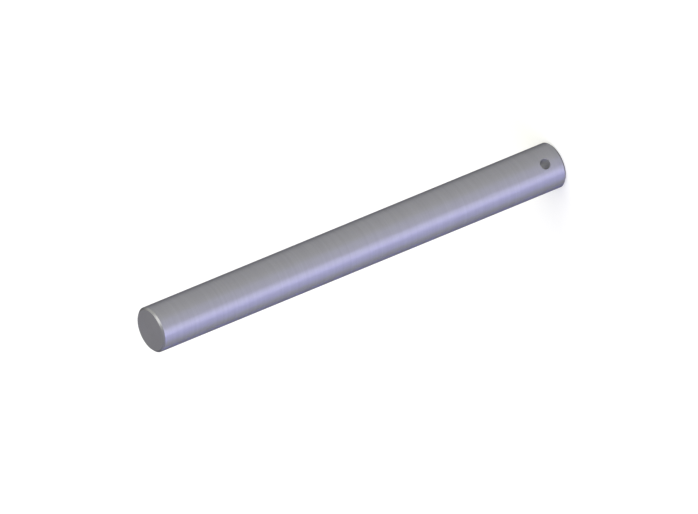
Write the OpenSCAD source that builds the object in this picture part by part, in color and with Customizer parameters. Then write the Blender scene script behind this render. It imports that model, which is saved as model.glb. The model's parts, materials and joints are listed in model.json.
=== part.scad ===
// Cradle pin: a straight round bar with a chamfer at each end and a cross hole near one end.
// It stands on its drilled end. The axis is Z and the centre of that end's face is the origin.

/* [Barrel] */
// Diameter of the barrel, which turns in the bores of a cradle
pin_diameter = 35; // [20:0.5:60]
// Overall length, from end face to end face
pin_length = 360; // [100:5:600]

/* [Ends] */
// Length of the chamfer at each end, measured along the axis
chamfer = 1.5; // [0.5:0.1:4]
// Slope of the chamfer, measured from the axis
chamfer_angle = 45; // [30:1:60]
// Radius that breaks the sharp edges on both sides of a chamfer
edge_r = 0.3; // [0.1:0.05:0.5]

/* [Cross hole] */
// Diameter of the hole that takes a split pin
hole_d = 8; // [4:0.5:16]
// Distance from the drilled end's face to the middle of the hole
hole_inset = 15; // [12:0.5:60]

/* [Hidden] */
// Flats in a full circle
$fn = 96;
// Straight steps that each rounded edge takes
edge_steps = 4;
barrel_r = pin_diameter / 2;
// Radius of the flat part of an end face
face_r = barrel_r - chamfer * tan(chamfer_angle);
// How far the drill passes the barrel on each side
drill_overrun = 1;

// Half of the section through the axis, from the drilled end up to the plain one
section = [
    [0, 0],
    [face_r, 0],
    [barrel_r, chamfer],
    [barrel_r, pin_length - chamfer],
    [face_r, pin_length],
    [0, pin_length]
];

// Vector v turned anticlockwise by an angle
function turned(v, angle) = [
    v[0] * cos(angle) - v[1] * sin(angle),
    v[0] * sin(angle) + v[1] * cos(angle)
];

// Arc of radius rad that rounds the corner between the points before and after it
function rounded(before, corner, after, rad) =
    let (back = (before - corner) / norm(before - corner))
    let (ahead = (after - corner) / norm(after - corner))
    let (half = acos(back * ahead) / 2)
    let (centre = corner + (back + ahead) / norm(back + ahead) * rad / sin(half))
    let (start = corner + back * rad / tan(half) - centre)
    [for (step = [0:edge_steps]) centre + turned(start, (180 - 2 * half) * step / edge_steps)];

// The section with its four outer corners rounded
outline = [
    section[0],
    for (i = [1:4]) each rounded(section[i - 1], section[i], section[i + 1], edge_r),
    section[5]
];

module turned_bar() {
    rotate_extrude()
        polygon(outline);
}

// Hole straight through the barrel, along Y
module cross_hole() {
    translate([0, 0, hole_inset])
        rotate([90, 0, 0])
            cylinder(d = hole_d, h = pin_diameter + 2 * drill_overrun, center = true);
}

module pin() {
    color([0.62, 0.62, 0.68])
        difference() {
            turned_bar();
            cross_hole();
        }
}

pin();
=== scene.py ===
import json
import math

import bpy
from mathutils import Matrix, Vector

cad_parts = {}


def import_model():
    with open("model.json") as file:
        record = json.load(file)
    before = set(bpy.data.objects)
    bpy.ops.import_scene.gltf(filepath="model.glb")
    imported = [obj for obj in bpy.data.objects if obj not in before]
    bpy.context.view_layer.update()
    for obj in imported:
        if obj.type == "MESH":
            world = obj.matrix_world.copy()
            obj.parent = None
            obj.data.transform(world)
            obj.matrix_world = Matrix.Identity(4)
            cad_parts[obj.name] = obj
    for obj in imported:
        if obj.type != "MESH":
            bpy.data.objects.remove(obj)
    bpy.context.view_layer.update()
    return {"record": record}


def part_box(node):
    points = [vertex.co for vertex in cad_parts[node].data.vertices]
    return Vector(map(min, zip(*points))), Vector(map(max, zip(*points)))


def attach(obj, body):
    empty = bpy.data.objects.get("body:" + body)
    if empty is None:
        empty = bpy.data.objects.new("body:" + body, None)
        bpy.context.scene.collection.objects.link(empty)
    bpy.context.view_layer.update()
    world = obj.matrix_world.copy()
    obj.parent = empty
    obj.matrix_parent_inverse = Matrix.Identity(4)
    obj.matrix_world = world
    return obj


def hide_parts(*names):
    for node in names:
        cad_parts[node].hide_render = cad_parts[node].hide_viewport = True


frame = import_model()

# The pin's sizes, in metres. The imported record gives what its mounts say.
MM = 0.001
mounts = {mount["name"]: mount for mount in frame["record"]["mounts"]}
PIN_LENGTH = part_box("pin")[1].z
PIN_MIDDLE = Vector((0, 0, PIN_LENGTH / 2))
BARREL_R = mounts["barrel"]["dims"]["r_mm"] * MM
HOLE_R = mounts["cross_hole"]["dims"]["r_mm"] * MM
HOLE_Z = mounts["cross_hole"]["pos_m"][2]
CHAMFER = 1.5 * MM
EDGE_R = 0.3 * MM
RIM_R = 0.15 * MM

# The axes of the pin and of its cross hole, as numbers of a vector's parts
PIN_AXIS = 2
HOLE_AXIS = 1

# How finely the skin is divided. Points lie in columns round the axis and in rings along it.
# Round each mouth of the hole, a square patch of the barrel has rings of its own.
AROUND = 192
EDGE_STEPS = 6
BARREL_ROWS = 48
CAP_RINGS = 5
HALF_PATCH = 12
PATCH_RINGS = 8
RIM_STEPS = 5
BORE_ROWS = 16

# The column in the middle of each mouth of the hole: -1 is the mouth on the side of -Y, 1 the other
MOUTH_COLUMNS = {-1: 3 * AROUND // 4, 1: AROUND // 4}

# The view in the photograph: an orthographic one, rolled so that the pin lies across the frame
VIEW_AZIMUTH = math.radians(-8.14)
VIEW_ELEVATION = math.radians(27.95)
VIEW_SLOPE = math.radians(22.385)
VIEW_WIDTH = 0.5093
VIEW_OFFSET = (-0.0019, -0.007)
VIEW_DISTANCE = 2.5
VIEW_CLIP = (0.1, 50)

# The stage. The floor is a little yellow, because most of the lamps are blue.
WHITE = (1, 1, 1)
FLOOR_WIDTH = 60
FLOOR_WHITE = (0.63, 0.63, 0.545)
FLOOR_GLOW = 0.4
WORLD_LIGHT = 0.65

# Tool marks: how many to a metre across the lay and along it, and how deep they are, in metres
FINE_MARKS = 3500
BROAD_MARKS = 350
MARKS_ROUND = 15
MARK_DEPTH = 0.0000012

# The noise that draws the marks, and how far it moves the steel's roughness and colour
MARK_DETAIL = 2
MARK_RANGE = (0.7, 1.3)
ROUGHNESS_SPREAD = 0.025
COLOUR_CONTRAST = 0.035

# How much of steel's gloss is left where it is seen edge-on: outside, and in the hole
EDGE_TINT = (0.16, 0.16, 0.19, 1)
HOLE_TINT = (1, 1, 1, 1)

# How far the streaks of its gloss turn from the tangent, as a share of a full turn
LAY_TURN = 0.25

# The finishes, as numbers of the pin's material slots. Beside their finish, the faced ends and the bore
# are painted lighter than the barrel, and the chamfers and rims darker.
BARREL, FACED, CHAMFERED, BORED = range(4)


def rounded(before, corner, after, radius):
    """Points of the arc that rounds a corner of an outline, each with its outward normal."""
    back = (before - corner).normalized()
    ahead = (after - corner).normalized()
    half = back.angle(ahead) / 2
    centre = corner + (back + ahead).normalized() * radius / math.sin(half)
    start = corner + back * radius / math.tan(half) - centre
    for step in range(EDGE_STEPS + 1):
        spoke = start.copy()
        spoke.rotate(Matrix.Rotation((math.pi - 2 * half) * step / EDGE_STEPS, 2))
        yield centre + spoke, spoke / radius


def outline():
    """The rings of the turned outline, drilled end first, and the number of the first one in a patch.

    A ring is a place as (radius, height), its normal, and the finish of the faces above it.
    """
    face_r = BARREL_R - CHAMFER
    corners = [
        Vector(c)
        for c in (
            (0, 0),
            (face_r, 0),
            (BARREL_R, CHAMFER),
            (BARREL_R, PIN_LENGTH - CHAMFER),
            (face_r, PIN_LENGTH),
            (0, PIN_LENGTH),
        )
    ]
    arcs = [list(rounded(*corners[i - 1 : i + 2], EDGE_R)) for i in range(1, 5)]
    outward = Vector((1, 0))
    patch_pitch = 2 * math.pi * BARREL_R / AROUND
    patch_rows = [HOLE_Z + patch_pitch * k for k in range(-HALF_PATCH, HALF_PATCH + 1)]
    top = arcs[2][0][0].y
    rise = (top - patch_rows[-1]) / BARREL_ROWS
    rows = patch_rows + [patch_rows[-1] + rise * k for k in range(1, BARREL_ROWS)]
    rings = [(p, n, CHAMFERED) for p, n in arcs[0] + arcs[1]]
    first_patch_ring = len(rings)
    rings[-1] = (*arcs[1][-1], BARREL)
    rings += [(Vector((BARREL_R, z)), outward, BARREL) for z in rows]
    rings += [(p, n, CHAMFERED) for p, n in arcs[2] + arcs[3]]
    return rings, first_patch_ring


def column_angle(j):
    return 2 * math.pi * j / AROUND


def turned(flat, angle):
    """A place or normal of the outline, turned round the pin's axis."""
    return Vector((math.cos(angle), math.sin(angle), 0)) * flat.x + Vector((0, 0, 1)) * flat.y


def rim_point(spoke, turn, side):
    """The place and normal of a point on a mouth's rounded rim, after a turn towards the bore."""
    x, z = spoke * (HOLE_R + RIM_R * (1 - math.sin(turn)))
    depth = math.sqrt(BARREL_R**2 - x**2)
    outward = Vector((x, side * depth, 0)) / BARREL_R
    inward = Vector((-spoke.x, 0, -spoke.y))
    y = side * (depth - RIM_R * (1 - math.cos(turn)))
    normal = (outward * math.cos(turn) + inward * math.sin(turn)).normalized()
    return Vector((x, y, HOLE_Z + z)), normal


class Skin:
    """Points with their exact normals, and faces with their finish's number."""

    def __init__(self):
        self.points = []
        self.normals = []
        self.faces = []
        self.finishes = []

    def point(self, place, normal):
        """Adds a point and gives its number."""
        self.points.append(place)
        self.normals.append(normal)
        return len(self.points) - 1

    def face(self, corners, finish, flipped=False):
        self.faces.append(corners[::-1] if flipped else corners)
        self.finishes.append(finish)

    def strip(self, outer, inner, finish, flipped=False):
        """Faces between two closed rings of points that have as many points each."""
        for k in range(len(outer)):
            n = (k + 1) % len(outer)
            self.face((outer[k], outer[n], inner[n], inner[k]), finish, flipped)

    def mesh(self, name):
        made = bpy.data.meshes.new(name)
        made.from_pydata(self.points, [], self.faces)
        made.polygons.foreach_set("material_index", self.finishes)
        made.shade_smooth()
        made.normals_split_custom_set_from_vertices(self.normals)
        made.update()
        return made


class PinSkin(Skin):
    """The whole surface: barrel, chamfers, end faces, and the cross hole with its two rounded rims."""

    def __init__(self):
        super().__init__()
        self.rings, self.first_patch_ring = outline()
        self.turned_points = {}
        self.turned_faces()
        self.end_face(0, height=0, facing=-1)
        self.end_face(len(self.rings) - 1, height=PIN_LENGTH, facing=1)
        self.bore(self.mouth(-1), self.mouth(1))

    def turned_point(self, i, j):
        """The number of the point on ring i and column j, which is made when it is first asked for."""
        j %= AROUND
        if (i, j) not in self.turned_points:
            place, normal, _ = self.rings[i]
            angle = column_angle(j)
            self.turned_points[i, j] = self.point(turned(place, angle), turned(normal, angle))
        return self.turned_points[i, j]

    def in_patch(self, i, j):
        """Whether the face above ring i, from column j to the next, is in a mouth's patch."""
        if not self.first_patch_ring <= i < self.first_patch_ring + 2 * HALF_PATCH:
            return False
        from_patch_edge = (j - MOUTH_COLUMNS[1] + HALF_PATCH) % (AROUND // 2)
        return from_patch_edge < 2 * HALF_PATCH

    def turned_faces(self):
        """The barrel and the chamfers, apart from the two patches."""
        for i in range(len(self.rings) - 1):
            for j in range(AROUND):
                if not self.in_patch(i, j):
                    spots = ((i, j), (i, j + 1), (i + 1, j + 1), (i + 1, j))
                    corners = tuple(self.turned_point(*spot) for spot in spots)
                    self.face(corners, self.rings[i][2])

    def end_face(self, end, height, facing):
        """The flat face inside the first or last ring, facing down (-1) or up (1)."""
        normal = Vector((0, 0, facing))
        outer = [self.turned_point(end, j) for j in range(AROUND)]
        rim_r = self.rings[end][0].x
        for k in range(1, CAP_RINGS):
            radius = rim_r * (1 - k / CAP_RINGS)
            inner = []
            for j in range(AROUND):
                angle = column_angle(j)
                place = Vector((radius * math.cos(angle), radius * math.sin(angle), height))
                inner.append(self.point(place, normal))
            self.strip(outer, inner, FACED, flipped=facing < 0)
            outer = inner
        centre = self.point(Vector((0, 0, height)), normal)
        for j in range(AROUND):
            self.face((outer[j], outer[(j + 1) % AROUND], centre), FACED, flipped=facing < 0)

    def patch_border(self, side):
        """The points round a mouth's patch, which it shares with the barrel."""
        span = range(-HALF_PATCH, HALF_PATCH)
        border = [(HALF_PATCH, t) for t in span]
        border += [(-t, HALF_PATCH) for t in span]
        border += [(-HALF_PATCH, -t) for t in span]
        border += [(t, -HALF_PATCH) for t in span]
        i = self.first_patch_ring + HALF_PATCH
        j = MOUTH_COLUMNS[side]
        return [self.turned_point(i + row, j - side * column) for column, row in border]

    def mouth(self, side):
        """A patch of the barrel that narrows to the hole, and the rounded rim. Returns the last ring."""
        outer = self.patch_border(side)
        edge = [Vector((self.points[k].x, self.points[k].z - HOLE_Z)) for k in outer]
        spokes = [e.normalized() for e in edge]
        for ring in range(1, PATCH_RINGS + 1):
            inner = []
            for e, spoke in zip(edge, spokes):
                x, z = e.lerp(spoke * (HOLE_R + RIM_R), ring / PATCH_RINGS)
                y = side * math.sqrt(BARREL_R**2 - x**2)
                inner.append(self.point(Vector((x, y, HOLE_Z + z)), Vector((x, y, 0)) / BARREL_R))
            self.strip(outer, inner, BARREL, flipped=side > 0)
            outer = inner
        for step in range(1, RIM_STEPS + 1):
            turn = math.pi / 2 * step / RIM_STEPS
            inner = [self.point(*rim_point(spoke, turn, side)) for spoke in spokes]
            self.strip(outer, inner, CHAMFERED, flipped=side > 0)
            outer = inner
        return outer

    def bore(self, near, far):
        """The hole's wall, from one mouth's inner ring to the other's."""
        outer = near
        for row in range(1, BORE_ROWS):
            inner = []
            for start, end in zip(near, far):
                place = self.points[start].lerp(self.points[end], row / BORE_ROWS)
                inner.append(self.point(place, self.normals[start]))
            self.strip(outer, inner, BORED)
            outer = inner
        self.strip(outer, far, BORED)


def fill(tree, node, inputs):
    """Links each named or numbered input to the socket that is given for it, or sets it to the value."""
    for name, value in inputs.items():
        if isinstance(value, bpy.types.NodeSocket):
            tree.links.new(value, node.inputs[name])
        else:
            node.inputs[name].default_value = value


def add(tree, kind, inputs=None, **settings):
    """A new node with its settings and its inputs."""
    node = tree.nodes.new(kind)
    for name, value in settings.items():
        setattr(node, name, value)
    fill(tree, node, inputs or {})
    return node


def marks_along(axis):
    """Places for marks that run round an axis: slow changes on the way round, quick ones along it."""

    def places(tree, density):
        scale = [MARKS_ROUND] * 3
        scale[axis] = density
        local = add(tree, "ShaderNodeTexCoord").outputs["Object"]
        return add(tree, "ShaderNodeMapping", {"Vector": local, "Scale": scale}).outputs["Vector"]

    return places


def marks_outward(tree, density):
    """Places for the circles that a facing tool leaves: they change with radius and height alone."""
    local = add(tree, "ShaderNodeTexCoord").outputs["Object"]
    parts = add(tree, "ShaderNodeSeparateXYZ", {"Vector": local}).outputs
    level = add(tree, "ShaderNodeCombineXYZ", {"X": parts["X"], "Y": parts["Y"]}).outputs["Vector"]
    radius = add(tree, "ShaderNodeVectorMath", {"Vector": level}, operation="LENGTH").outputs["Value"]
    circles = add(tree, "ShaderNodeCombineXYZ", {"X": radius, "Z": parts["Z"]}).outputs["Vector"]
    return add(tree, "ShaderNodeMapping", {"Vector": circles, "Scale": [density] * 3}).outputs["Vector"]


def marks(tree, places, density):
    """Noise of that many marks to a metre."""
    inputs = {"Vector": places(tree, density), "Scale": 1, "Detail": MARK_DETAIL}
    return add(tree, "ShaderNodeTexNoise", inputs).outputs[0]


def steel(name, colour, roughness, places, anisotropic=0, edge_tint=EDGE_TINT):
    """Bare steel with the marks of the tool that finished it. places says where the marks lie."""
    made = bpy.data.materials.new(name)
    made.use_nodes = True
    tree = made.node_tree
    fine = marks(tree, places, FINE_MARKS)
    broad = marks(tree, places, BROAD_MARKS)
    both = add(tree, "ShaderNodeMath", {0: fine, 1: broad}, operation="ADD").outputs[0]
    low, high = MARK_RANGE
    mark = add(tree, "ShaderNodeMapRange", {"Value": both, "From Min": low, "From Max": high}).outputs[0]
    dark = (*(c * (1 - COLOUR_CONTRAST) for c in colour), 1)
    light = (*(c * (1 + COLOUR_CONTRAST) for c in colour), 1)
    shade = add(tree, "ShaderNodeMix", {"Factor": mark, "A": dark, "B": light}, data_type="RGBA")
    dull, smooth = roughness + ROUGHNESS_SPREAD, roughness - ROUGHNESS_SPREAD
    rough = {"Value": mark, "To Min": dull, "To Max": smooth}
    relief = {"Height": fine, "Distance": MARK_DEPTH}
    look = {
        "Base Color": shade.outputs["Result"],
        "Metallic": 1,
        "Roughness": add(tree, "ShaderNodeMapRange", rough).outputs[0],
        "Normal": add(tree, "ShaderNodeBump", relief).outputs[0],
        "Specular Tint": edge_tint,
        "Anisotropic": anisotropic,
        "Anisotropic Rotation": LAY_TURN,
        "Tangent": add(tree, "ShaderNodeTangent", direction_type="RADIAL", axis="Z").outputs[0],
    }
    fill(tree, tree.nodes["Principled BSDF"], look)
    return made


def ground_steel():
    """The barrel, ground round its axis. The marks draw each light out along the barrel."""
    return steel(
        "ground_steel",
        colour=(0.3, 0.3, 0.318),
        roughness=0.45,
        places=marks_along(PIN_AXIS),
        anisotropic=0.8,
    )


def faced_steel_painted_light():
    """The flat ends, faced in circles. Their steel is lighter than the barrel's: painted light on the
    end faces.
    """
    return steel(
        "faced_steel_painted_light",
        # Lighter than the barrel's steel: painted light on the end faces
        colour=(0.365, 0.36, 0.38),
        roughness=0.35,
        places=marks_outward,
        anisotropic=0.3,
    )


def chamfered_steel_painted_shade():
    """The chamfers and the hole's rounded rims. Their steel is darker than the barrel's: painted shade
    on the chamfers and rims.
    """
    return steel(
        "chamfered_steel_painted_shade",
        # Darker than the barrel's steel: painted shade on the chamfers and the hole's rims
        colour=(0.265, 0.265, 0.26),
        roughness=0.37,
        places=marks_outward,
    )


def drilled_steel_painted_light():
    """The wall of the cross hole. Its steel is more than twice as light as the barrel's: painted light
    in the shaded bore.
    """
    return steel(
        "drilled_steel_painted_light",
        # Far lighter than the barrel's steel: painted light in the shaded bore
        colour=(0.7, 0.7, 0.69),
        roughness=0.5,
        places=marks_along(HOLE_AXIS),
        edge_tint=HOLE_TINT,
    )


def dressed_pin():
    made = bpy.data.objects.new("pin_body", PinSkin().mesh("pin_body"))
    bpy.context.scene.collection.objects.link(made)
    for finish in (ground_steel(), faced_steel_painted_light(), chamfered_steel_painted_shade(), drilled_steel_painted_light()):
        made.data.materials.append(finish)
    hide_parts("pin")
    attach(made, "root")


def floor_paint():
    """Matt white, with a glow on top of it for the camera and for what is seen in gloss and glass."""
    paint = bpy.data.materials.new("floor_white")
    paint.use_nodes = True
    tree = paint.node_tree
    tree.nodes.clear()
    rays = add(tree, "ShaderNodeLightPath").outputs
    seen = rays["Is Camera Ray"]
    for kind in ("Is Glossy Ray", "Is Transmission Ray"):
        seen = add(tree, "ShaderNodeMath", {0: seen, 1: rays[kind]}, operation="MAXIMUM").outputs[0]
    strength = add(tree, "ShaderNodeMath", {0: seen, 1: FLOOR_GLOW}, operation="MULTIPLY").outputs[0]
    matt = add(tree, "ShaderNodeBsdfDiffuse", {"Color": (*FLOOR_WHITE, 1)}).outputs[0]
    glow = add(tree, "ShaderNodeEmission", {"Strength": strength}).outputs[0]
    both = add(tree, "ShaderNodeAddShader", {0: matt, 1: glow}).outputs[0]
    add(tree, "ShaderNodeOutputMaterial", {"Surface": both})
    return paint


def floor():
    """A wide floor that takes the pin's shadow."""
    half = FLOOR_WIDTH / 2
    corners = [(-half, -half, 0), (half, -half, 0), (half, half, 0), (-half, half, 0)]
    mesh = bpy.data.meshes.new("floor")
    mesh.from_pydata(corners, [], [(0, 1, 2, 3)])
    mesh.materials.append(floor_paint())
    made = bpy.data.objects.new("floor", mesh)
    bpy.context.scene.collection.objects.link(made)


def way_to(azimuth, elevation):
    """The direction from the pin to a lamp or camera. Azimuth 0 is on the side of -Y."""
    level = math.cos(elevation)
    return Vector((math.sin(azimuth) * level, -math.cos(azimuth) * level, math.sin(elevation)))


def lamp(name, azimuth, elevation, width, power, colour):
    """A soft light from far away: a disc that spans width in the sky. The angles are in degrees."""
    way = way_to(math.radians(azimuth), math.radians(elevation))
    light = bpy.data.lights.new(name, "SUN")
    light.angle = math.radians(width)
    light.energy = power
    light.color = colour
    made = bpy.data.objects.new(name, light)
    made.location = PIN_MIDDLE + way
    made.rotation_mode = "QUATERNION"
    made.rotation_quaternion = (-way).to_track_quat("-Z", "Y")
    bpy.context.scene.collection.objects.link(made)


def world():
    made = bpy.data.worlds.new("studio")
    made.use_nodes = True
    tree = made.node_tree
    fill(tree, tree.nodes["Background"], {"Color": (*WHITE, 1), "Strength": WORLD_LIGHT})
    bpy.context.scene.world = made


def camera():
    """An orthographic camera that sees the pin's axis rise to the right, with the plain end nearer."""
    back = way_to(VIEW_AZIMUTH, VIEW_ELEVATION)
    level = Vector((math.cos(VIEW_AZIMUTH), math.sin(VIEW_AZIMUTH), 0))
    steep = back.cross(level)
    right = -steep * math.cos(VIEW_SLOPE) - level * math.sin(VIEW_SLOPE)
    up = back.cross(right)
    data = bpy.data.cameras.new("camera")
    data.type = "ORTHO"
    data.ortho_scale = VIEW_WIDTH
    data.clip_start, data.clip_end = VIEW_CLIP
    made = bpy.data.objects.new("camera", data)
    place = PIN_MIDDLE + right * VIEW_OFFSET[0] + up * VIEW_OFFSET[1] + back * VIEW_DISTANCE
    made.matrix_world = Matrix.Translation(place) @ Matrix((right, up, back)).transposed().to_4x4()
    bpy.context.scene.collection.objects.link(made)
    bpy.context.scene.camera = made


bpy.context.scene.view_settings.view_transform = "Standard"
camera()
dressed_pin()
floor()
world()

# The key lamp makes the lilac band below the barrel's middle. Side and rear light the flank under
# it, front the middle, right the upper flank, and top the near end with its chamfer.
lamp("key", azimuth=-46, elevation=9, width=32, power=2.38, colour=(0.62, 0.61, 1))
lamp("side", azimuth=-75, elevation=3, width=46, power=2.5, colour=(0.3, 0.3, 1))
lamp("rear", azimuth=-134, elevation=2, width=14, power=0.6, colour=(0.2, 0.2, 1))
lamp("front", azimuth=-10, elevation=14, width=50, power=1.2, colour=(0.6, 0.6, 1))
lamp("right", azimuth=100, elevation=30, width=40, power=0.3, colour=WHITE)
lamp("top", azimuth=37, elevation=57, width=40, power=1.05, colour=WHITE)
